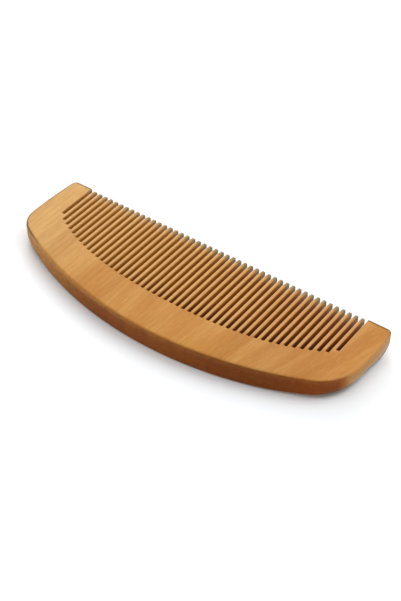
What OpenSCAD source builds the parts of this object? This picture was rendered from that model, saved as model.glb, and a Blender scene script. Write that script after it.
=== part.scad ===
// One-piece wooden comb, lying on its lower face.
// X runs along the comb, Y from the back to the tooth tips, Z up.
// The origin is at the middle of the box's lower face.

/* [Overall size] */
// Length from end to end
comb_len = 165.4; // [150:0.2:180]
// Width from the back to the longest tip
comb_w = 57.8; // [54:0.2:66]
// Thickness of the board
comb_t = 10.3; // [9:0.1:12]

/* [Teeth] */
// Number of teeth between the two end guards
tooth_count = 47; // [35:1:47]
// Distance from one tooth to the next
tooth_pitch = 3; // [2.8:0.1:3]
// Distance of the middle tooth to the right of the middle of the comb's length
teeth_shift = -0.4; // [-1:0.1:1]
// Width of each saw cut
cut_w = 1.5; // [1.1:0.1:1.7]
// Width of the back at its middle, up to the roots of the cuts
spine_w = 18; // [14:0.1:22]
// Rise of the curved line of roots from the middle to the outermost cuts
root_rise = 16.1; // [8:0.1:18]
// Extra wood left uncut at the first and last cut
end_root_rise = 1.2; // [0:0.1:3]
// Bevel along the edges of the teeth
tooth_bevel = 0.3; // [0.1:0.05:0.4]

/* [Tips] */
// Width of a tooth at its very tip
tip_w = 1.4; // [0.6:0.1:1.4]
// Length over which a tooth narrows to its tip
tip_taper = 2; // [1:0.1:4]
// Distance of the tooth tips behind the tips of the end guards
tip_recess = 0.1; // [0:0.1:1]
// Length over which the tips are thinned from below
tip_thinning = 10.5; // [6:0.5:14]
// Angle by which the line of tips leans towards the right end
tip_lean = 0.56; // [0:0.02:0.8]

/* [Outline] */
// Radius of the curved back
back_r = 166.5; // [150:0.5:200]
// Radius of the left end, which is almost straight
left_end_r = 200; // [100:5:400]
// Distance of the left end's widest point above the middle of the comb's width
left_end_y = 4; // [0:0.5:10]
// Radius of the corner between the back and the left end
left_corner_r = 12; // [4:0.5:14]
// Radius of the tip corner of the left guard
left_tip_r = 2.6; // [2.4:0.2:5]
// Radius of the right end
right_end_r = 120; // [90:5:400]
// Distance of the right end's widest point above the middle of the comb's width
right_end_y = 15.5; // [8:0.5:24]
// Radius of the corner between the back and the right end
right_corner_r = 20.5; // [8:0.5:22]
// Radius of the tip corner of the right guard
right_tip_r = 2.4; // [2.4:0.2:5]

/* [Rims] */
// Rounding of the upper rim, at the back, the ends and the tips
upper_rim = 1; // [0.6:0.1:2.2]
// Rounding of the lower rim at the middle of the back
lower_rim = 0.8; // [0.6:0.1:2]
// Rounding of the lower rim at both ends
end_lower_rim = 6; // [1:0.1:6.4]

/* [Hidden] */

// How far a cutting shape runs past the wood
over = 5;
// Wood planed off each face, so that both come out flat
skim = 0.02;
// Overlap of neighbouring cuts in front of a tooth tip
tip_overlap = 0.05;
// Length of the blunt point of a tooth tip
tip_point = 0.15;
// Upright part of a tip's nose, between its thinned underside and its upper rim
nose_flat = 1.2;
// Reach of the thinning curve past the nose
nose_over = 0.1;
// Steps in the curve that thins the tips
thinning_steps = 8;
// How late the lower rim's rounding grows from the middle towards the ends
rim_growth = 4.5;
// Least radius left at a corner inside the lower rim
least_r = 0.3;
// Steps in the lower and upper rims
lower_steps = 3;
upper_steps = 4;
// Bevel in the corners of each cut's root
root_bevel = 0.3;
// Shares of the roots' rise that follow the square and the fourth power
square_share = 0.58;
fourth_share = 1 - square_share;

back_y = -comb_w / 2;
tip_y = comb_w / 2;
end_x = comb_len / 2;
cut_count = tooth_count + 1;
last_cut = cut_count - 1;
nose_z = comb_t - upper_rim;
half_cuts = last_cut * tooth_pitch / 2;

back_c = [0, back_y + back_r];
left_end_c = [left_end_r - end_x, left_end_y];
right_end_c = [end_x - right_end_r, right_end_y];

// Arcs of the outline, from the left guard's tip round by the back to the right guard's tip
CENTRE = 0;
RADIUS = 1;
STEPS = 2;
arcs = [
    [tip_corner(-1, left_end_c, left_end_r, left_tip_r), left_tip_r, 6],
    [left_end_c, left_end_r, 6],
    [meet(back_c, back_r - left_corner_r, left_end_c, left_end_r - left_corner_r), left_corner_r, 8],
    [back_c, back_r, 30],
    [meet(back_c, back_r - right_corner_r, right_end_c, right_end_r - right_corner_r), right_corner_r, 8],
    [right_end_c, right_end_r, 8],
    [tip_corner(1, right_end_c, right_end_r, right_tip_r), right_tip_r, 6]
];
last_arc = len(arcs) - 1;

// Height of the guards' tip line at a place along the comb
function tip_line_y(x) = tip_y + (x - end_x) * tan(tip_lean);

// Centre of a tip corner, which touches an end's arc and the tip line
function tip_corner(side, end_c, end_r, r) =
    let (y = tip_line_y(side * (end_x - r)) - r / cos(tip_lean))
    [end_c.x + side * sqrt(pow(end_r - r, 2) - pow(y - end_c.y, 2)), y];

// Lower one of the two points where two circles meet
function meet(a, ra, b, rb) =
    let (d = norm(b - a))
    let (along = (ra * ra - rb * rb + d * d) / (2 * d))
    let (across = sqrt(ra * ra - along * along))
    let (u = (b - a) / d)
    let (v = [-u.y, u.x])
    let (p = a + along * u + across * v)
    let (q = a + along * u - across * v)
    p.y < q.y ? p : q;

// Bearing of one point from another, counted on past the tips' direction at 90 degrees
function bearing(from, to) =
    let (a = atan2(to.y - from.y, to.x - from.x))
    a < 90 ? a + 360 : a;

// Bearing at which one arc runs into the next, along the line through their centres
function turn(p, q) =
    p[RADIUS] > q[RADIUS] ? bearing(p[CENTRE], q[CENTRE]) : bearing(q[CENTRE], p[CENTRE]);

function arc_start(n) = n == 0 ? 90 + tip_lean : turn(arcs[n - 1], arcs[n]);
function arc_end(n) = n == last_arc ? 450 + tip_lean : turn(arcs[n], arcs[n + 1]);

// Points round the outline, each with its arc and its direction from that arc's centre
stations = [
    for (n = [0 : last_arc])
        let (steps = arcs[n][STEPS])
        for (k = [0 : n == last_arc ? steps : steps - 1])
            let (a = arc_start(n) + (arc_end(n) - arc_start(n)) * k / steps)
            [n, [cos(a), sin(a)]]
];

// Point of the outline at a station, set in by the given distance
function set_in(station, inset) =
    let (arc = arcs[station[0]])
    arc[CENTRE] + (arc[RADIUS] - inset) * station[1];

// Rounding of the lower rim at a station
function lower_rim_at(station) =
    let (share = pow(abs(set_in(station, 0).x) / end_x, rim_growth))
    min(lower_rim + (end_lower_rim - lower_rim) * share, arcs[station[0]][RADIUS] - least_r);

// Place of a cut along the comb
function cut_x(i) = teeth_shift - half_cuts + i * tooth_pitch;

// Height of a cut's root
function root_y(i) =
    let (u = (cut_x(i) - teeth_shift) / half_cuts)
    let (outermost = i == 0 || i == last_cut)
    back_y + spine_w + (outermost ? end_root_rise : 0)
    + root_rise * (square_share * pow(u, 2) + fourth_share * pow(u, 4));

// Board with the comb's outline and both rims eased, a skim thicker than the comb on each face
module rimmed_board() {
    lower = [
        for (k = [0 : lower_steps])
            let (a = 90 * k / lower_steps)
            for (s = stations)
                let (r = lower_rim_at(s))
                let (p = set_in(s, r * (1 - sin(a))))
                [p.x, p.y, r * (1 - cos(a)) - skim]
    ];
    upper = [
        for (k = [0 : upper_steps])
            let (a = 90 * k / upper_steps)
            for (s = stations)
                let (p = set_in(s, upper_rim * (1 - cos(a))))
                [p.x, p.y, nose_z + upper_rim * sin(a) + skim]
    ];
    points = concat(lower, upper);
    count = len(stations);
    last_ring = len(points) / count - 1;
    bands = [
        for (j = [0 : last_ring - 1])
            for (k = [0 : count - 1])
                let (m = (k + 1) % count)
                let (low = j * count)
                let (high = low + count)
                each [[low + k, high + k, high + m], [low + k, high + m, low + m]]
    ];
    bottom = [for (k = [0 : count - 1]) k];
    top = [for (k = [count - 1 : -1 : 0]) last_ring * count + k];
    polyhedron(points, concat([bottom], bands, [top]));
}

// Side section of the comb at its tips: flat above, thinned from below
module tip_section() {
    back_end = -comb_w - over;
    rise = nose_z - nose_flat;
    underside = [
        for (i = [0 : thinning_steps])
            let (a = 90 * i / thinning_steps)
            [(tip_thinning + nose_over) * sin(a) - tip_thinning, rise * (1 - cos(a))]
    ];
    polygon(concat([[back_end, 0]], underside, [[over, rise], [over, comb_t], [back_end, comb_t]]));
}

// Long bar with that side section, laid along the leaning tip line
module tip_bar() {
    translate([end_x, tip_y, 0])
        rotate(tip_lean)
            translate([-comb_len - over, 0, 0])
                rotate([90, 0, 90])
                    linear_extrude(comb_len + 2 * over)
                        tip_section();
}

// Right-hand edge of a cut seen from above, which widens beside a tooth tip
function cut_edge(len, beside_tooth) =
    let (tip = len - tip_recess)
    let (half_pitch = tooth_pitch / 2)
    beside_tooth
        ? [
            [cut_w / 2, tip - tip_taper],
            [half_pitch - tip_w / 2, tip - tip_point],
            [half_pitch + tip_overlap, tip],
            [half_pitch + tip_overlap, len + over]
        ]
        : [[cut_w / 2, len + over]];

// Outline of a cut seen from above, with its root at zero
module cut_outline(len, tooth_on_left, tooth_on_right) {
    right = cut_edge(len, tooth_on_right);
    left = cut_edge(len, tooth_on_left);
    root = [
        [-cut_w / 2, root_bevel],
        [root_bevel - cut_w / 2, 0],
        [cut_w / 2 - root_bevel, 0],
        [cut_w / 2, root_bevel]
    ];
    mirrored = [for (k = [len(left) - 1 : -1 : 0]) [-left[k].x, left[k].y]];
    polygon(concat(root, right, mirrored));
}

// Groove that bevels both edges of a cut along one face of the board
module bevel_groove(len) {
    top_half = cut_w / 2 + tooth_bevel + over;
    translate([0, len + over, 0])
        rotate([90, 0, 0])
            linear_extrude(len + over)
                polygon([
                    [-cut_w / 2, -tooth_bevel],
                    [cut_w / 2, -tooth_bevel],
                    [top_half, over],
                    [-top_half, over]
                ]);
}

// One saw cut, with the tips beside it narrowed
module cut(i) {
    len = tip_line_y(cut_x(i)) - root_y(i);
    translate([cut_x(i), root_y(i), 0]) {
        translate([0, 0, -over])
            linear_extrude(comb_t + 2 * over)
                cut_outline(len, i > 0, i < last_cut);
        translate([0, 0, comb_t]) bevel_groove(len);
        mirror([0, 0, 1]) bevel_groove(len);
    }
}

// The comb, sawn and eased from one board
module comb() {
    color("burlywood")
        difference() {
            intersection() {
                rimmed_board();
                tip_bar();
            }
            for (i = [0 : last_cut]) cut(i);
        }
}

comb();
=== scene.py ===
import math
from collections import namedtuple

import bpy
import numpy as np
from mathutils import Matrix, Vector
from mathutils.geometry import delaunay_2d_cdt


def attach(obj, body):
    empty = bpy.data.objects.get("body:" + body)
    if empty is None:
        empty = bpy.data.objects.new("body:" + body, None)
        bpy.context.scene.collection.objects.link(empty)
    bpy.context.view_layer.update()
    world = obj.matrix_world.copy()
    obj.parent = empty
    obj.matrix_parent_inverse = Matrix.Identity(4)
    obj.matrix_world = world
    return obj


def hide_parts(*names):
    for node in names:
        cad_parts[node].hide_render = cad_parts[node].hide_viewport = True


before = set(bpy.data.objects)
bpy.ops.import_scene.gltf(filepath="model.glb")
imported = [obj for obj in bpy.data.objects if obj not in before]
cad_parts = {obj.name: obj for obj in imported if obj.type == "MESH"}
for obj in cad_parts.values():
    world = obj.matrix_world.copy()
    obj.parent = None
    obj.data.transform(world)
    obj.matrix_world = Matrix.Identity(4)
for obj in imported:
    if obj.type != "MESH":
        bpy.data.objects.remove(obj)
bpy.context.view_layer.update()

# Sizes of the comb in millimetres, as in its source
MM = 0.001
COMB_LEN = 165.4
COMB_W = 57.8
COMB_T = 10.3
TOOTH_COUNT = 47
TOOTH_PITCH = 3.0
CUT_W = 1.5
TEETH_SHIFT = -0.4
SPINE_W = 18.0
ROOT_RISE = 16.1
SQUARE_SHARE = 0.58
END_ROOT_RISE = 1.2
TIP_W = 1.4
TIP_TAPER = 2.0
TIP_RECESS = 0.1
TIP_THINNING = 10.5
TIP_LEAN = math.radians(0.56)
BACK_R = 166.5
LEFT_END_R = 200.0
LEFT_END_Y = 4.0
LEFT_CORNER_R = 12.0
LEFT_TIP_R = 2.6
RIGHT_END_R = 120.0
RIGHT_END_Y = 15.5
RIGHT_CORNER_R = 20.5
RIGHT_TIP_R = 2.4
UPPER_RIM = 1.0
LOWER_RIM = 0.8
END_LOWER_RIM = 6.0
RIM_GROWTH = 4.5
NOSE_FLAT = 1.2
NOSE_OVER = 0.1

END_X = COMB_LEN / 2
TIP_Y = COMB_W / 2
BACK_Y = -COMB_W / 2
CUT_COUNT = TOOTH_COUNT + 1
LAST_CUT = CUT_COUNT - 1
HALF_TEETH = LAST_CUT / 2 * TOOTH_PITCH

# Lower rim under the tips, where the comb is thin: its rounding at the tip line, and its growth from there
TIP_LOWER_RIM = 0.4
TIP_LOWER_RIM_GROWTH = 0.35

# Easing of a tooth's upper edges, as widths and drops at distances behind its tip
TOOTH_RIM = 0.4
TOOTH_TIP_RIM = 0.22
TOOTH_TIP_DROP = 0.35
TOOTH_RIM_PLACES = (0, 1.5, 3.5, 7)
TOOTH_RIM_WIDTHS = (TOOTH_TIP_RIM, 0.42, 0.45, TOOTH_RIM)
TOOTH_RIM_DROPS = (TOOTH_TIP_DROP, 0.7, 0.7, TOOTH_RIM)

# Other finer forms of the teeth: their crowned upper face, their tip rounded down, and their tip in plan
TOOTH_CROWN = 0.05
TOOTH_CROWN_START = 3.0
TOOTH_NOSE_LEN = 3.6
TOOTH_NOSE_DROP = 1.3
TOOTH_TIP_CORNER_R = 0.3
TOOTH_TAPER_POWER = 1.6

# Finer forms of the cuts and the guards
CUT_RIM = 0.25
CUT_LOWER_RIM = 0.25
CUT_CORNER_R = 0.35
GUARD_RIM = 0.3
GUARD_CORNER = 0.3
GUARD_CORNER_MIDDLE = 0.09
CORNER_SLACK = 0.1
CORNER_SLOPE = 0.55

# Where the mesh has its points, in millimetres, degrees or shares of a length
RIM_STEPS = 6
LOWER_STEPS = 5
WALL_HOLD = 0.25
ARC_STEP = 1.5
ARC_STEP_SHARE = 0.2
LEAST_ARC_STEPS = 4
LEFT_TIP_SHARES = (0.15, 0.4, 0.7)
RIGHT_TIP_SHARES = (0.3, 0.6, 0.85)
GUARD_CORNER_LEVELS = (0.8, 1.5, 2.5, 3.5)
GUARD_STEP = 3.0
ROOT_ANGLES = (0, 30, 60, 90)
TIP_ANGLES = (15, 45, 75, 105, 135, 165)
TOOTH_LEVELS = (0.55, 0.8, 1.1, 1.5, 1.9, 2.3, 2.8, 3.5, 4.5, 6, 8, 10.5)
TOOTH_STEP = 3.5
LONGEST_TOOTH_STEP = TOOTH_STEP * 1.4
ROOT_CLEARANCE = 0.3
AXIS_ROOT_CLEARANCE = 1.0
SPINE_GRID = 4.0
SPINE_END_GAP = 8.0
SPINE_RIM_GAP = 7.5
SPINE_ROOT_GAP = 2.0

# The two flat faces are filled with triangles inside the outline only, within this tolerance
FILL_INSIDE = 1
FILL_TOLERANCE = 1e-6


def tip_line(x):
    """Height of the guards' tip line at a place along the comb."""
    return TIP_Y + (x - END_X) * math.tan(TIP_LEAN)


def cut_x(i):
    """Place of a cut along the comb."""
    return TEETH_SHIFT - HALF_TEETH + i * TOOTH_PITCH


def root_y(i):
    """Height of a cut's root, on a line that curves up towards both ends."""
    u = abs(cut_x(i) - TEETH_SHIFT) / HALF_TEETH
    outermost = END_ROOT_RISE if i in (0, LAST_CUT) else 0
    return BACK_Y + SPINE_W + outermost + ROOT_RISE * (SQUARE_SHARE * u ** 2 + (1 - SQUARE_SHARE) * u ** 4)


def underside(x, y):
    """Height of the lower face, which rises under the tips."""
    behind = min(max(tip_line(x) - y, 0), TIP_THINNING)
    share = (TIP_THINNING - behind) / (TIP_THINNING + NOSE_OVER)
    return (COMB_T - UPPER_RIM - NOSE_FLAT) * (1 - math.sqrt(1 - share ** 2))


def eased_drop(distance, length, drop):
    """Drop of an eased edge, a quarter ellipse, at a distance in from it."""
    share = 1 - min(max(distance / length, 0), 1)
    return drop * (1 - math.sqrt(max(0, 1 - share ** 2)))


def lower_rim_at(x, y):
    """Rounding of the lower rim, wide at both ends and small under the tips."""
    share = min(1, abs(x) / END_X) ** RIM_GROWTH
    most = TIP_LOWER_RIM + TIP_LOWER_RIM_GROWTH * max(0, tip_line(x) - y)
    return min(LOWER_RIM + (END_LOWER_RIM - LOWER_RIM) * share, most)


def circles_meet(a, ra, b, rb):
    """Lower one of the two points where two circles meet."""
    d = np.linalg.norm(b - a)
    along = (ra ** 2 - rb ** 2 + d ** 2) / (2 * d)
    across = math.sqrt(ra ** 2 - along ** 2)
    u = (b - a) / d
    v = np.array([-u[1], u[0]])
    return min(a + along * u + across * v, a + along * u - across * v, key=lambda p: p[1])


def tip_corner(side, centre, end_r, r):
    """Centre of a tip corner, which touches an end's arc and the tip line."""
    y = tip_line(side * (END_X - r)) - r / math.cos(TIP_LEAN)
    return np.array([centre[0] + side * math.sqrt((end_r - r) ** 2 - (y - centre[1]) ** 2), y])


def bearing(a, b):
    """Bearing of b from a in degrees, counted on past the tips' direction."""
    angle = math.degrees(math.atan2(b[1] - a[1], b[0] - a[0]))
    return angle + 360 if angle < 90 else angle


def board_arcs():
    """Centre, radius, first and last bearing of each arc, from the left tip corner round by the back."""
    back = np.array([0, BACK_Y + BACK_R])
    left = np.array([LEFT_END_R - END_X, LEFT_END_Y])
    right = np.array([END_X - RIGHT_END_R, RIGHT_END_Y])
    rounds = [
        (tip_corner(-1, left, LEFT_END_R, LEFT_TIP_R), LEFT_TIP_R),
        (left, LEFT_END_R),
        (circles_meet(back, BACK_R - LEFT_CORNER_R, left, LEFT_END_R - LEFT_CORNER_R), LEFT_CORNER_R),
        (back, BACK_R),
        (circles_meet(back, BACK_R - RIGHT_CORNER_R, right, RIGHT_END_R - RIGHT_CORNER_R), RIGHT_CORNER_R),
        (right, RIGHT_END_R),
        (tip_corner(1, right, RIGHT_END_R, RIGHT_TIP_R), RIGHT_TIP_R),
    ]
    tips_bearing = 90 + math.degrees(TIP_LEAN)
    turns = [tips_bearing]
    for (a, ra), (b, rb) in zip(rounds, rounds[1:]):
        turns.append(bearing(a, b) if ra > rb else bearing(b, a))
    turns.append(tips_bearing + 360)
    return [(centre, r, turns[n], turns[n + 1]) for n, (centre, r) in enumerate(rounds)]


# A point of the plan outline. From there the upper rim runs inwards by upper and up by drop to the
# surface, and the lower rim runs inwards and down by the two values in lower.
Station = namedtuple("Station", "x y upper lower drop surface")


def board_surface(x, y, inset):
    """Upper face beside a guard's cut edge: flat, and eased to the tip line."""
    return COMB_T - eased_drop(tip_line(x) - y, UPPER_RIM, UPPER_RIM)


def rim_surface(x, y, inset):
    """Upper face along the board's own outline, eased by the upper rim."""
    return COMB_T - eased_drop(inset, 1, UPPER_RIM)


def tooth_surface(centre_x, tip_y, low_root):
    """Upper face of one tooth: slightly crowned across, and rounded down at the tip."""
    def height(x, y, inset):
        grown = min(1, max(0, (y - low_root) / TOOTH_CROWN_START))
        crown = grown * TOOTH_CROWN * ((x - centre_x) / (CUT_W / 2)) ** 2
        return COMB_T - crown - eased_drop(tip_y - y, TOOTH_NOSE_LEN, TOOTH_NOSE_DROP)
    return height


def rim_station(x, y, inward):
    """Station on the board's own outline, with its inward direction."""
    low = lower_rim_at(x, y)
    return Station(x, y, inward * UPPER_RIM, (inward * low, low), 0, rim_surface)


def guard_corner(x, side):
    """Stations round a guard's inner tip corner, from tip edge to cut edge, with wood on the given side."""
    y = tip_line(x)
    inner_x = x + side * GUARD_RIM
    rim_y = y - UPPER_RIM
    middle = (x + side * GUARD_CORNER_MIDDLE, y - GUARD_CORNER_MIDDLE)
    ways = [
        ((x + side * GUARD_CORNER, y), (inner_x + side * CORNER_SLACK, rim_y), 0, CUT_LOWER_RIM),
        (middle, (inner_x, rim_y), GUARD_RIM / 2, CUT_LOWER_RIM),
        ((x, y - GUARD_CORNER), (inner_x, rim_y - CORNER_SLACK), GUARD_RIM, CORNER_SLACK),
    ]
    for level in GUARD_CORNER_LEVELS:
        inner = max(level, UPPER_RIM + CORNER_SLACK + CORNER_SLOPE * (level - GUARD_CORNER))
        ways.append(((x, y - level), (inner_x, y - inner), GUARD_RIM, CORNER_SLACK))
    stations = []
    for outer, inner, drop, lower_lean in ways:
        lower = np.array([side * CUT_LOWER_RIM, -lower_lean])
        upper = np.array(inner) - np.array(outer)
        stations.append(Station(*outer, upper, (lower, CUT_LOWER_RIM), drop, board_surface))
    return stations


def tip_edge(start_x, end_x, shares):
    """Stations along a guard's tip edge, at shares of the way from one place to another."""
    inward = np.array([math.sin(TIP_LEAN), -math.cos(TIP_LEAN)])
    places = [start_x + (end_x - start_x) * share for share in shares]
    return [rim_station(x, tip_line(x), inward) for x in places]


def arc_stations(centre, r, first, last, with_end):
    """Stations along one arc of the outline, between two bearings."""
    turn = math.radians(last - first)
    steps = max(LEAST_ARC_STEPS, math.ceil(abs(turn) * r / min(ARC_STEP, ARC_STEP_SHARE * r)))
    stations = []
    for k in range(steps + 1 if with_end else steps):
        angle = math.radians(first) + turn * k / steps
        out = np.array([math.cos(angle), math.sin(angle)])
        p = centre + r * out
        stations.append(rim_station(p[0], p[1], -out))
    return stations


def board_stations():
    """Stations round the board, from the left guard's inner corner by the back to the right guard's."""
    left_x = cut_x(0) - CUT_W / 2
    right_x = cut_x(LAST_CUT) + CUT_W / 2
    arcs = board_arcs()
    first_x = arcs[0][0][0]
    last_x = arcs[-1][0][0]
    stations = guard_corner(left_x, -1)[::-1]
    stations += tip_edge(left_x - GUARD_CORNER, first_x, LEFT_TIP_SHARES)
    for arc in arcs:
        stations += arc_stations(*arc, with_end=arc is arcs[-1])
    stations += tip_edge(last_x, right_x + GUARD_CORNER, RIGHT_TIP_SHARES)
    stations += guard_corner(right_x, 1)
    return stations


def cut_station(x, y, upper, drop, surface):
    """Station on a cut's edge. The lower rim runs the same way as the upper one."""
    upper = np.array(upper, float)
    lower = upper / np.linalg.norm(upper) * CUT_LOWER_RIM
    return Station(x, y, upper, (lower, CUT_LOWER_RIM), drop, surface)


def root_stations(i, left_rim, right_rim, left_surface, right_surface):
    """Stations round a cut's root, from its right-hand edge to its left-hand edge."""
    y = root_y(i) + CUT_CORNER_R
    corners = (
        (1, right_rim, right_surface, ROOT_ANGLES),
        (-1, left_rim, left_surface, ROOT_ANGLES[::-1]),
    )
    stations = []
    for side, rim, surface, angles in corners:
        centre_x = cut_x(i) + side * (CUT_W / 2 - CUT_CORNER_R)
        for angle in angles:
            a = math.radians(angle)
            way = np.array([side * math.cos(a), -math.sin(a)])
            width = rim + (CUT_RIM - rim) * angle / 90
            x = centre_x + CUT_CORNER_R * way[0]
            stations.append(cut_station(x, y + CUT_CORNER_R * way[1], way * width, width, surface))
    return stations


def tooth_half_width(behind):
    """Half the width of a tooth at a distance behind its tip."""
    share = min(1, behind / TIP_TAPER)
    share = 1 - (1 - share) ** TOOTH_TAPER_POWER
    return TIP_W / 2 + (CUT_W - TIP_W) / 2 * share


def tooth_rim(behind):
    """Width and drop of the easing along a tooth's upper edges, which are rounder near the tip."""
    width = np.interp(behind, TOOTH_RIM_PLACES, TOOTH_RIM_WIDTHS)
    return width, np.interp(behind, TOOTH_RIM_PLACES, TOOTH_RIM_DROPS)


def tooth_levels(length):
    """Distances behind the tip at which a tooth's sides get stations, down to its root."""
    levels = list(TOOTH_LEVELS)
    while levels[-1] + LONGEST_TOOTH_STEP < length:
        levels.append(levels[-1] + TOOTH_STEP)
    return levels


def tooth_tip_stations(centre_x, tip_y, surface):
    """Stations round a tooth's blunt tip, from its right to its left."""
    stations = []
    for angle in TIP_ANGLES:
        a = math.radians(angle)
        out = np.array([math.cos(a), math.sin(a)])
        corner_x = centre_x + math.copysign(TIP_W / 2 - TOOTH_TIP_CORNER_R, out[0])
        x = corner_x + TOOTH_TIP_CORNER_R * out[0]
        y = tip_y - TOOTH_TIP_CORNER_R + TOOTH_TIP_CORNER_R * out[1]
        stations.append(cut_station(x, y, -out * TOOTH_TIP_RIM, TOOTH_TIP_DROP, surface))
    return stations


def tooth_stations(i):
    """Stations up the right side of the tooth between cuts i and i + 1, round its tip and down its left."""
    centre_x = cut_x(i) + TOOTH_PITCH / 2
    tip_y = tip_line(centre_x) - TIP_RECESS
    surface = tooth_surface(centre_x, tip_y, min(root_y(i), root_y(i + 1)))
    levels = tooth_levels(tip_y - max(root_y(i), root_y(i + 1)))
    sides = {}
    for side, root in ((1, root_y(i + 1)), (-1, root_y(i))):
        length = tip_y - root - CUT_CORNER_R
        sides[side] = []
        for behind in levels:
            if behind < length - ROOT_CLEARANCE:
                rim, drop = tooth_rim(behind)
                x = centre_x + side * tooth_half_width(behind)
                sides[side].append(cut_station(x, tip_y - behind, (-side * rim, 0), drop, surface))
    return sides[1][::-1] + tooth_tip_stations(centre_x, tip_y, surface) + sides[-1], surface


def guard_edge(x, side, root):
    """Stations along a guard's straight cut edge, from behind its corner to its root."""
    y = tip_line(x) - GUARD_CORNER_LEVELS[-1]
    end_y = root + CUT_CORNER_R
    count = math.ceil((y - end_y) / GUARD_STEP)
    upper = (side * GUARD_RIM, 0)
    return [
        cut_station(x, y + (end_y - y) * k / count, upper, GUARD_RIM, board_surface)
        for k in range(1, count)
    ]


def cut_stations():
    """Stations from the right guard's cut edge through every tooth to the left guard's cut edge."""
    left_x = cut_x(0) - CUT_W / 2
    right_x = cut_x(LAST_CUT) + CUT_W / 2
    stations = guard_edge(right_x, 1, root_y(LAST_CUT))
    right_rim = GUARD_RIM
    right_surface = board_surface
    for i in range(LAST_CUT, 0, -1):
        tooth, surface = tooth_stations(i - 1)
        stations += root_stations(i, TOOTH_RIM, right_rim, surface, right_surface)
        stations += tooth
        right_rim = TOOTH_RIM
        right_surface = surface
    stations += root_stations(0, GUARD_RIM, right_rim, board_surface, right_surface)
    stations += guard_edge(left_x, -1, root_y(0))[::-1]
    return stations


def quarter_turn(steps):
    """Angles from 0 to a right angle."""
    return [math.pi / 2 * k / steps for k in range(steps + 1)]


def lower_ring(stations, angle):
    """Ring of the lower rim, from the lower face at angle 0 to the side at a right angle."""
    ring = []
    for s in stations:
        way, rise = s.lower
        x = s.x + way[0] * (1 - math.sin(angle))
        y = s.y + way[1] * (1 - math.sin(angle))
        ring.append((x, y, underside(x, y) + rise * (1 - math.cos(angle))))
    return ring


def upper_ring(stations, angle):
    """Ring of the upper rim, from the side at angle 0 to the upper face at a right angle."""
    ring = []
    for s in stations:
        inset = 1 - math.cos(angle)
        x = s.x + s.upper[0] * inset
        y = s.y + s.upper[1] * inset
        ring.append((x, y, s.surface(x, y, inset) - s.drop * (1 - math.sin(angle))))
    return ring


def held_ring(near, far):
    """Ring on the side close to a rim, which keeps the side flat under smooth shading."""
    ring = []
    for p, q in zip(near, far):
        step = min(WALL_HOLD, abs(q[2] - p[2]) / 3)
        ring.append((p[0], p[1], p[2] + math.copysign(step, q[2] - p[2])))
    return ring


def comb_rings(stations):
    """Closed rings of points from the lower face up the side to the upper face, in millimetres."""
    lower = [lower_ring(stations, angle) for angle in quarter_turn(LOWER_STEPS)]
    upper = [upper_ring(stations, angle) for angle in quarter_turn(RIM_STEPS)]
    held = [held_ring(lower[-1], upper[0]), held_ring(upper[0], lower[-1])]
    return lower + held + upper


def spine_points():
    """Places for vertices on the two faces of the back, clear of every rim."""
    places = []
    for x in np.arange(-END_X + SPINE_END_GAP, END_X - SPINE_END_GAP, SPINE_GRID):
        low = BACK_Y + BACK_R - math.sqrt(BACK_R ** 2 - x ** 2)
        i = (x - cut_x(0)) / TOOTH_PITCH
        high = root_y(min(max(i, 0), LAST_CUT))
        for y in np.arange(low + SPINE_RIM_GAP, high - SPINE_ROOT_GAP, SPINE_GRID):
            places.append((x, y))
    return places


def tooth_axis_points():
    """Points along each tooth's middle, level with its side stations."""
    points = []
    for i in range(TOOTH_COUNT):
        x = cut_x(i) + TOOTH_PITCH / 2
        tip_y = tip_line(x) - TIP_RECESS
        root = max(root_y(i), root_y(i + 1))
        surface = tooth_surface(x, tip_y, root)
        for behind in tooth_levels(tip_y - root):
            if behind < tip_y - root - AXIS_ROOT_CLEARANCE:
                y = tip_y - behind
                points.append((x, y, surface(x, y, 1)))
    return points


def add_cap(verts, faces, ring, first, inner, upward):
    """Closes one end of the rings, whose points start at first, with a face through some inner points."""
    base = len(verts)
    verts.extend(inner)
    places = [Vector(p[:2]) for p in ring + inner]
    loop = list(range(len(ring)))
    _, _, triangles, origins, _, _ = delaunay_2d_cdt(places, [], [loop], FILL_INSIDE, FILL_TOLERANCE)
    for triangle in triangles:
        ids = []
        for corner in triangle:
            source = origins[corner][0]
            ids.append(first + source if source < len(ring) else base + source - len(ring))
        a, b, c = (Vector(verts[k][:2]) for k in ids)
        anticlockwise = (b - a).cross(c - a) > 0
        faces.append(ids if anticlockwise == upward else ids[::-1])


def comb_mesh():
    """Mesh of the whole comb: its sides as bands between rings, and its two faces as caps."""
    stations = board_stations() + cut_stations()
    rings = comb_rings(stations)
    count = len(stations)
    verts = [p for ring in rings for p in ring]
    faces = []
    for j in range(len(rings) - 1):
        for k in range(count):
            m = (k + 1) % count
            faces.append((j * count + k, j * count + m, (j + 1) * count + m, (j + 1) * count + k))
    spine = spine_points()
    lower_points = [(x, y, 0.0) for x, y in spine]
    upper_points = [(x, y, COMB_T) for x, y in spine] + tooth_axis_points()
    last_ring_start = (len(rings) - 1) * count
    add_cap(verts, faces, rings[0], 0, lower_points, upward=False)
    add_cap(verts, faces, rings[-1], last_ring_start, upper_points, upward=True)
    mesh = bpy.data.meshes.new("comb_wood")
    mesh.from_pydata([[c * MM for c in p] for p in verts], [], faces)
    mesh.update()
    mesh.shade_smooth()
    return mesh


def add_object(name, data):
    """New object in the scene."""
    item = bpy.data.objects.new(name, data)
    bpy.context.scene.collection.objects.link(item)
    return item


comb = add_object("comb_wood", comb_mesh())
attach(comb, "root")
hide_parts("comb")


# Sockets of the mix node that are for colours
MIX_SHARE = 0
MIX_A = 6
MIX_B = 7
MIX_RESULT = 2


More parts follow.
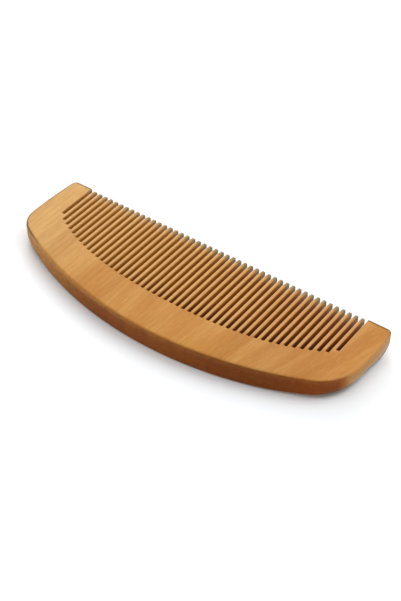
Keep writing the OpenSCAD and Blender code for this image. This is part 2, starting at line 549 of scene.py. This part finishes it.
class Nodes:
    """A material's node tree, with short calls for the nodes used here."""

    def __init__(self, name):
        self.material = bpy.data.materials.new(name)
        self.material.use_nodes = True
        self.tree = self.material.node_tree
        self.tree.nodes.clear()

    def add(self, kind, inputs=None, **settings):
        """New node with its settings. Each given input holds a value or takes another node's output."""
        node = self.tree.nodes.new(kind)
        for key, value in settings.items():
            setattr(node, key, value)
        for key, value in (inputs or {}).items():
            socket = node.inputs[key]
            if isinstance(value, bpy.types.NodeSocket):
                self.tree.links.new(value, socket)
            else:
                socket.default_value = value
        return node

    def math(self, operation, a, b=0.0, c=0.0):
        """Result of an operation on up to three values."""
        return self.add("ShaderNodeMath", {0: a, 1: b, 2: c}, operation=operation).outputs[0]

    def product(self, first, *others):
        """All the given values multiplied together."""
        result = first
        for other in others:
            result = self.math("MULTIPLY", result, other)
        return result

    def square(self, value):
        """A value multiplied by itself."""
        return self.math("POWER", value, 2.0)

    def span(self, value, low, high, to_low=0.0, to_high=1.0, smooth=True):
        """Passes from one result to another while a value runs from low to high, and is level outside."""
        inputs = {"Value": value, 1: low, 2: high, 3: to_low, 4: to_high}
        kind = "SMOOTHSTEP" if smooth else "LINEAR"
        return self.add("ShaderNodeMapRange", inputs, interpolation_type=kind, clamp=True).outputs[0]

    def mix(self, share, a, b):
        """Colour a, with the given share of colour b."""
        inputs = {MIX_SHARE: share, MIX_A: a, MIX_B: b}
        return self.add("ShaderNodeMix", inputs, data_type="RGBA", clamp_factor=True).outputs[MIX_RESULT]

    def paint(self, colour, coat, *masks):
        """Colour with a coat of another, as strong as the product of the masks."""
        return self.mix(self.product(*masks), colour, coat)

    def surface(self, inputs):
        """The finished material, whose shader has the given inputs."""
        shader = self.add("ShaderNodeBsdfPrincipled", inputs)
        self.add("ShaderNodeOutputMaterial", {0: shader.outputs[0]})
        return self.material


# Levels of a noise pattern: its middle, and where it counts as fully high or fully low
NOISE_MIDDLE = 0.5
NOISE_HIGH = 0.72
NOISE_LOW = 0.28

# Colours of the planed face, from the left end to the right, and of its grain
LIGHT_WOOD = (0.502, 0.289, 0.097, 1)
DEEP_WOOD = (0.385, 0.149, 0.018, 1)
DEEP_WOOD_RIGHT = (0.36, 0.143, 0.031, 1)
DEEP_WOOD_END = (0.425, 0.18, 0.044, 1)
DARK_STREAK = (0.27, 0.095, 0.013, 1)
PALE_STREAK = (0.6, 0.37, 0.12, 1)
FINE_GRAIN = (0.33, 0.125, 0.018, 1)
PORES = (0.22, 0.08, 0.012, 1)
RIPPLE = (0.6, 0.37, 0.14, 1)
TEETH_LEFT = (0.51, 0.285, 0.11, 1)
TEETH_RIGHT = (0.48, 0.265, 0.115, 1)

# Colours of the end grain along the back, from the left end to the right
SIDE_LEFT = (0.49, 0.19, 0.026, 1)
SIDE_MIDDLE = (0.23, 0.057, 0.006, 1)
SIDE_RIGHT = (0.155, 0.03, 0.001, 1)
SIDE_CORNER = (0.19, 0.035, 0.0005, 1)
# Painted light for the back's upper edge
SIDE_PAINTED_TOP_LIGHT = (0.56, 0.26, 0.06, 1)
DARK_MOTTLE = (0.1, 0.025, 0.002, 1)
PALE_MOTTLE = (0.5, 0.2, 0.04, 1)

# Colours of the painted shade on the rims, and of the right end, with a painted reflection lower down and
# painted shade at its foot
PAINTED_SHADE_FAR_RIM = (0.12, 0.055, 0.022, 1)
PAINTED_SHADE_LEFT_RIM = (0.13, 0.085, 0.045, 1)
RIGHT_END_TOP = (0.4, 0.2, 0.058, 1)
RIGHT_END_PAINTED_REFLECTION = (0.42, 0.31, 0.185, 1)
RIGHT_END_PAINTED_SHADE = (0.08, 0.06, 0.035, 1)

# Colours of the walls of the saw cuts, with painted shade near the roots and painted light near the tips,
# and of the teeth's tips, with painted shade and painted highlights
WALLS_LEFT = (0.47, 0.2, 0.014, 1)
WALLS_RIGHT = (0.36, 0.11, 0.004, 1)
WALLS_PAINTED_ROOT_SHADE = (0.18, 0.036, 0.001, 1)
WALLS_PAINTED_TIP_LIGHT = (0.42, 0.21, 0.05, 1)
PAINTED_SHADE_TIP = (0.25, 0.19, 0.11, 1)
PAINTED_HIGHLIGHT_LEFT = (0.95, 0.78, 0.5, 1)
PAINTED_HIGHLIGHT_RIGHT = (0.9, 0.68, 0.38, 1)


class WoodNodes(Nodes):
    """The wood's node tree, with each point's facing, and its place in millimetres and among the teeth."""

    def __init__(self):
        super().__init__("comb_wood")
        coords = self.add("ShaderNodeTexCoord")
        place = self.add("ShaderNodeSeparateXYZ", {0: coords.outputs["Object"]})
        facing = self.add("ShaderNodeSeparateXYZ", {0: coords.outputs["Normal"]})
        self.x, self.y, self.z = (self.math("MULTIPLY", axis, 1 / MM) for axis in place.outputs)
        self.facing_x, self.facing_y, facing_z = facing.outputs
        self.steep = self.math("SQRT", self.math("SUBTRACT", 1.0, self.square(facing_z)))
        self.set_places_among_teeth()
        self.set_grain()

    def set_places_among_teeth(self):
        """Whether a point is between the guards, and how far above the roots and ahead of the tips."""
        teeth_x = self.math("SUBTRACT", self.x, TEETH_SHIFT)
        cuts_end = HALF_TEETH + CUT_W / 2
        from_middle = self.math("ABSOLUTE", teeth_x)
        self.among_cuts = self.span(from_middle, cuts_end + 0.15, cuts_end + 0.55, 1.0, 0.0, smooth=False)
        squared = self.square(self.math("DIVIDE", teeth_x, HALF_TEETH))
        square_rise = self.product(squared, SQUARE_SHARE * ROOT_RISE)
        fourth_rise = self.product(squared, squared, (1 - SQUARE_SHARE) * ROOT_RISE)
        rise = self.math("ADD", square_rise, fourth_rise)
        above_middle_root = self.math("SUBTRACT", self.y, BACK_Y + SPINE_W)
        self.above_root = self.math("SUBTRACT", above_middle_root, rise)
        lean = self.product(self.math("SUBTRACT", self.x, END_X), math.tan(TIP_LEAN))
        tip_y = self.math("ADD", TIP_Y - TIP_RECESS, lean)
        self.ahead = self.math("SUBTRACT", self.y, tip_y)

    def set_grain(self):
        """Place across the grain, which leans a little at the right, and the grain's finest marks."""
        lean = self.along(-20, 60, 0.0, 0.2)
        self.across = self.math("SUBTRACT", self.x, self.product(lean, self.y))
        self.fine = self.pattern(self.across, (1.1, 0.05, 0.3), detail=3.0, roughness=0.6)
        self.pores = self.pattern(self.across, (4.5, 0.22, 1.5))

    def along(self, start, end, to_start=0.0, to_end=1.0):
        """Passes from one result to another between two places along the comb."""
        return self.span(self.x, start, end, to_start, to_end)

    def near_top(self, start, full, height=None):
        """Grows from 0 to 1 between two depths under the upper face."""
        return self.span(height or self.z, COMB_T - start, COMB_T - full)

    def level_part(self, facing):
        """Part that one axis has in a point's facing, seen from above."""
        return self.math("DIVIDE", facing, self.math("MAXIMUM", self.steep, 0.01))

    def pattern(self, sideways, scales, shifts=(0, 0, 0), detail=2.0, roughness=0.5, distortion=0.0):
        """Noise over a sideways place and over y and z, each scaled and shifted."""
        ways = zip((sideways, self.y, self.z), scales, shifts)
        place = [self.math("MULTIPLY_ADD", way, scale, shift) for way, scale, shift in ways]
        inputs = {
            "Vector": self.add("ShaderNodeCombineXYZ", dict(enumerate(place))).outputs[0],
            "Scale": 1.0,
            "Detail": detail,
            "Roughness": roughness,
            "Distortion": distortion,
        }
        return self.add("ShaderNodeTexNoise", inputs).outputs["Fac"]

    def marked(self, colour, pattern, dark, dark_strength, pale, pale_strength):
        """Colour with dark marks where a pattern is high, and pale marks where it is low."""
        colour = self.mix(self.span(pattern, NOISE_MIDDLE, NOISE_HIGH, 0.0, dark_strength), colour, dark)
        return self.mix(self.span(pattern, NOISE_MIDDLE, NOISE_LOW, 0.0, pale_strength), colour, pale)


# In the functions below, places and heights are in millimetres on the comb, and the facing, the strengths
# and the levels of a pattern are shares of 1.


def ripple(w):
    """Soft ripple figure across the grain of the left part, from -1 to 1."""
    wander = w.pattern(w.x, (0.05, 0.05, 0))
    phase = w.math("ADD", w.product(w.x, 2.4), w.product(wander, 9.0))
    return w.product(w.math("SINE", phase), w.along(-70, 20, 1.0, 0.0))


def planed_wood(w):
    """The planed face, light at the left and deeper at the right, with its grain, pores and ripple."""
    deep = w.mix(w.along(30, 50), DEEP_WOOD, DEEP_WOOD_RIGHT)
    deep = w.mix(w.along(62, 76), deep, DEEP_WOOD_END)
    tone = w.math("ADD", w.along(-75, -29, 0.05, 0.85), w.along(25, 60, 0.0, 0.15))
    colour = w.mix(tone, LIGHT_WOOD, deep)
    streaks = (
        (w.pattern(w.across, (0.06, 0.01, 0), (9, 0, 0), detail=1.0), 0.38),
        (w.pattern(w.across, (0.16, 0.016, 0.05), (7, 0, 0), distortion=0.3), 0.24),
        (w.pattern(w.across, (0.42, 0.035, 0.1), (0, 3, 0), distortion=0.2), 0.07),
        (w.pattern(w.across, (1.5, 0.22, 0.6), roughness=0.6), 0.16),
    )
    for pattern, strength in streaks:
        colour = w.marked(colour, pattern, DARK_STREAK, strength, PALE_STREAK, strength)
    colour = w.mix(w.span(w.fine, 0.3, 0.7, 0.0, 0.32), colour, FINE_GRAIN)
    colour = w.mix(w.span(w.pores, 0.56, 0.72, 0.0, 0.2), colour, PORES)
    return w.mix(w.span(ripple(w), -1, 1, 0.0, 0.1), colour, RIPPLE)


def paint_teeth(w, colour):
    """The teeth are paler than the back."""
    teeth_colour = w.mix(w.along(-10, 60), TEETH_LEFT, TEETH_RIGHT)
    return w.paint(colour, teeth_colour, w.among_cuts, w.span(w.above_root, -0.5, 2.5), 0.75)


def paint_end_grain(w, colour):
    """The back and the guards' tips show end grain, which is darker; the back also gets painted light
    towards its upper edge, most at the left.
    """
    side = w.mix(w.along(-72, -20), SIDE_LEFT, SIDE_MIDDLE)
    side = w.mix(w.along(0, 50), side, SIDE_RIGHT)
    side = w.mix(w.along(58, 70), side, SIDE_CORNER)
    # Painted light towards the back's upper edge, strongest at the left end
    side = w.paint(side, SIDE_PAINTED_TOP_LIGHT, w.along(-65, 40, 0.8, 0.1), w.near_top(3.8, 0.2))
    mottle = w.pattern(w.x, (0.4, 0.4, 0.55), detail=3.0, roughness=0.6)
    side = w.marked(side, mottle, DARK_MOTTLE, 0.5, PALE_MOTTLE, 0.08)
    across_fibres = w.level_part(w.math("ABSOLUTE", w.facing_y))
    return w.paint(colour, side, w.span(across_fibres, 0.25, 0.6), w.span(w.steep, 0.6, 0.98), 0.92)


def paint_shaded_rims(w, colour):
    """Painted shade darkens the far rims of the guards and the rim of the left end."""
    turned_away = w.product(w.span(w.facing_y, 0.03, 0.3), w.span(w.y, 20, 22))
    far_rim = w.math("MAXIMUM", w.span(w.ahead, -1.5, -0.9), turned_away)
    on_guards = w.math("SUBTRACT", 1.0, w.among_cuts)
    # Painted shade along the guards' far rims
    colour = w.paint(colour, PAINTED_SHADE_FAR_RIM, far_rim, on_guards, w.near_top(1.0, 0.5), 0.8)
    from_centre_x = w.math("SUBTRACT", w.x, LEFT_END_R - END_X)
    from_centre_y = w.math("SUBTRACT", w.y, LEFT_END_Y)
    from_centre = w.math("SQRT", w.math("ADD", w.square(from_centre_x), w.square(from_centre_y)))
    at_outline = w.span(from_centre, LEFT_END_R - 1.1, LEFT_END_R - 0.6)
    left_rim = w.math("MAXIMUM", w.span(w.facing_x, -0.03, -0.3), at_outline)
    # Painted shade along the rim of the left end
    return w.paint(colour, PAINTED_SHADE_LEFT_RIM, left_rim, w.along(-62, -74), w.near_top(0.9, 0.5), 0.8)


def paint_right_end(w, colour):
    """The right end is paler than the top, greyed lower down by a painted reflection of the floor, and
    darkened at its foot by painted shade.
    """
    at_end = w.along(72, 74)
    # Painted reflection of the floor greys the end's lower part
    end_colour = w.mix(w.span(w.z, 7.5, 4.5), RIGHT_END_TOP, RIGHT_END_PAINTED_REFLECTION)
    colour = w.paint(colour, end_colour, w.span(w.facing_x, 0.9, 0.985), at_end, 0.7)
    rightward = w.span(w.level_part(w.facing_x), 0.6, 0.8)
    # Painted shade at the foot of the right end
    return w.paint(colour, RIGHT_END_PAINTED_SHADE, rightward, at_end, w.span(w.z, 4.4, 3.2), 0.7)


def paint_cut_walls(w, colour):
    """The walls of the saw cuts are deeper in tone than the planed faces, with painted shade near the roots
    and painted light near the tips.
    """
    wall = w.mix(w.along(-60, 60), WALLS_LEFT, WALLS_RIGHT)
    # Painted shade deep in the cuts near the roots
    wall = w.paint(wall, WALLS_PAINTED_ROOT_SHADE, w.span(w.above_root, 12, 1), w.along(-60, 20, 0.1, 0.85))
    # Painted light on the walls near the tips
    wall = w.mix(w.span(w.ahead, -6, -2), wall, WALLS_PAINTED_TIP_LIGHT)
    middle_z = COMB_T / 2
    from_middle = w.math("ABSOLUTE", w.math("SUBTRACT", w.z, middle_z))
    at_faces = w.along(-50, 40, 0.3, 0.65)
    inside = w.span(from_middle, middle_z - 1.5, middle_z - 0.2, 1.0, at_faces)
    upright = w.span(w.math("ABSOLUTE", w.facing_x), 0.6, 0.98)
    return w.paint(colour, wall, upright, w.among_cuts, inside)


def paint_tooth_tips(w, colour):
    """The blunt tips of the teeth are greyed by painted shade, and their left rims carry a painted
    highlight.
    """
    off_right_wall = w.span(w.facing_x, 0.6, 0.9, 1.0, 0.0)
    upper_tip = w.product(w.span(w.ahead, -4.2, -2.8), off_right_wall)
    tip = w.math("MAXIMUM", upper_tip, w.span(w.ahead, -3.0, -1.6))
    # Painted shade on the teeth's tips
    colour = w.paint(colour, PAINTED_SHADE_TIP, tip, w.among_cuts, w.near_top(3.2, 2.2), w.along(-50, 10, 0.6, 0.95))
    highlight_colour = w.mix(w.along(-20, 50), PAINTED_HIGHLIGHT_LEFT, PAINTED_HIGHLIGHT_RIGHT)
    turned_left = w.span(w.facing_x, -0.02, -0.35)
    near_tip = w.product(w.span(w.ahead, -8, -3), w.span(w.ahead, -1.4, -0.6, 1.0, 0.0))
    raised = w.math("ADD", w.z, w.span(w.ahead, -TOOTH_NOSE_LEN, -0.6, 0.0, 1.1))
    on_rim = w.near_top(1.1, 0.7, raised)
    # Painted highlight along the teeth's left rims near the tips
    return w.paint(colour, highlight_colour, turned_left, w.among_cuts, near_tip, on_rim, 0.85)


def wood_material():
    """Planed wood with its grain along the teeth, toned as in the photograph, with painted shade, painted
    light and a painted reflection on its back, rims, cut walls, tooth tips and right end.
    """
    w = WoodNodes()
    colour = planed_wood(w)
    coats = (
        paint_teeth,
        paint_end_grain,
        paint_shaded_rims,
        paint_right_end,
        paint_cut_walls,
        paint_tooth_tips,
    )
    for add_coat in coats:
        colour = add_coat(w, colour)
    height = w.math("ADD", w.product(w.fine, 0.5), w.product(w.pores, 0.35))
    bump = w.add("ShaderNodeBump", {"Strength": 0.12, "Distance": 0.0002, "Height": height})
    return w.surface({
        "Base Color": colour,
        "Roughness": w.span(w.fine, 0.3, 0.7, 0.36, 0.5, smooth=False),
        "Normal": bump.outputs[0],
        "Specular IOR Level": 0.05,
        "Coat Weight": 0.05,
        "Coat Roughness": 0.3,
    })


comb.data.materials.append(wood_material())


# Plain pale floor, with its size in metres
FLOOR_SIZE = 16.0
FLOOR_COLOUR = (0.785, 0.8, 0.815, 1)


def floor_mesh():
    """Square face at the comb's lower face."""
    half = FLOOR_SIZE / 2
    corners = [(-half, -half, 0), (half, -half, 0), (half, half, 0), (-half, half, 0)]
    mesh = bpy.data.meshes.new("floor")
    mesh.from_pydata(corners, [], [(0, 1, 2, 3)])
    inputs = {"Base Color": FLOOR_COLOUR, "Roughness": 0.7, "Specular IOR Level": 0.2}
    mesh.materials.append(Nodes("floor").surface(inputs))
    return mesh


floor = add_object("floor", floor_mesh())


# Soft square lights, each with its place and width in metres and its power in watts
LIGHT_AIM = Vector((0, 0, 0))
LIGHTS = {
    "front": ((0, -0.906, 0.423), 0.6, 0.25),
    "left_front": ((-0.8, -0.45, 0.35), 0.6, 1.25),
    "right_front": ((0.8, -0.45, 0.35), 0.6, 2.3),
    "left": ((-0.641, 0.641, 0.423), 0.6, 4.6),
    "right_back": ((0.455, 0.455, 0.766), 0.6, 4.4),
    "left_back": ((-0.455, 0.455, 0.766), 0.6, 2.4),
    "top": ((0, 0, 1.2), 1.0, 8.2),
}
WORLD_STRENGTH = 0.2


def add_light(name, location, width, power):
    """Area light that shines towards the comb."""
    light = bpy.data.lights.new(name, "AREA")
    light.shape = "SQUARE"
    light.size = width
    light.energy = power
    lamp = add_object(name, light)
    lamp.location = location
    lamp.rotation_euler = (LIGHT_AIM - Vector(location)).to_track_quat("-Z", "Y").to_euler()


def add_world():
    """White surroundings that fill the shadows a little."""
    world = bpy.data.worlds.new("studio")
    world.use_nodes = True
    background = world.node_tree.nodes["Background"]
    background.inputs["Color"].default_value = (1, 1, 1, 1)
    background.inputs["Strength"].default_value = WORLD_STRENGTH
    bpy.context.scene.world = world


for light_name, (place, width, power) in LIGHTS.items():
    add_light(light_name, place, width, power)
add_world()
bpy.context.scene.view_settings.view_transform = "Standard"


# The photograph's viewpoint, fitted to the comb's outline and its row of teeth
CAMERA_AZIMUTH = math.radians(36.2445)
CAMERA_ELEVATION = math.radians(43.3678)
CAMERA_ROLL = math.radians(0.1707)
CAMERA_DISTANCE = 541.6 * MM
CAMERA_AIM = Vector((7.108, 1.736, 5.15)) * MM
CAMERA_LENS = 78.83
CAMERA_SENSOR = 36
CAMERA_NEAREST = 0.02
CAMERA_FURTHEST = 20


def add_camera():
    """Camera that looks at the comb from the photograph's viewpoint."""
    data = bpy.data.cameras.new("camera")
    data.sensor_width = CAMERA_SENSOR
    data.lens = CAMERA_LENS
    data.clip_start = CAMERA_NEAREST
    data.clip_end = CAMERA_FURTHEST
    camera = add_object("camera", data)
    turn = (
        Matrix.Rotation(CAMERA_AZIMUTH, 4, "Z")
        @ Matrix.Rotation(math.pi / 2 - CAMERA_ELEVATION, 4, "X")
        @ Matrix.Rotation(CAMERA_ROLL, 4, "Z")
    )
    back_away = Matrix.Translation((0, 0, CAMERA_DISTANCE))
    camera.matrix_world = Matrix.Translation(CAMERA_AIM) @ turn @ back_away
    return camera


bpy.context.scene.camera = add_camera()
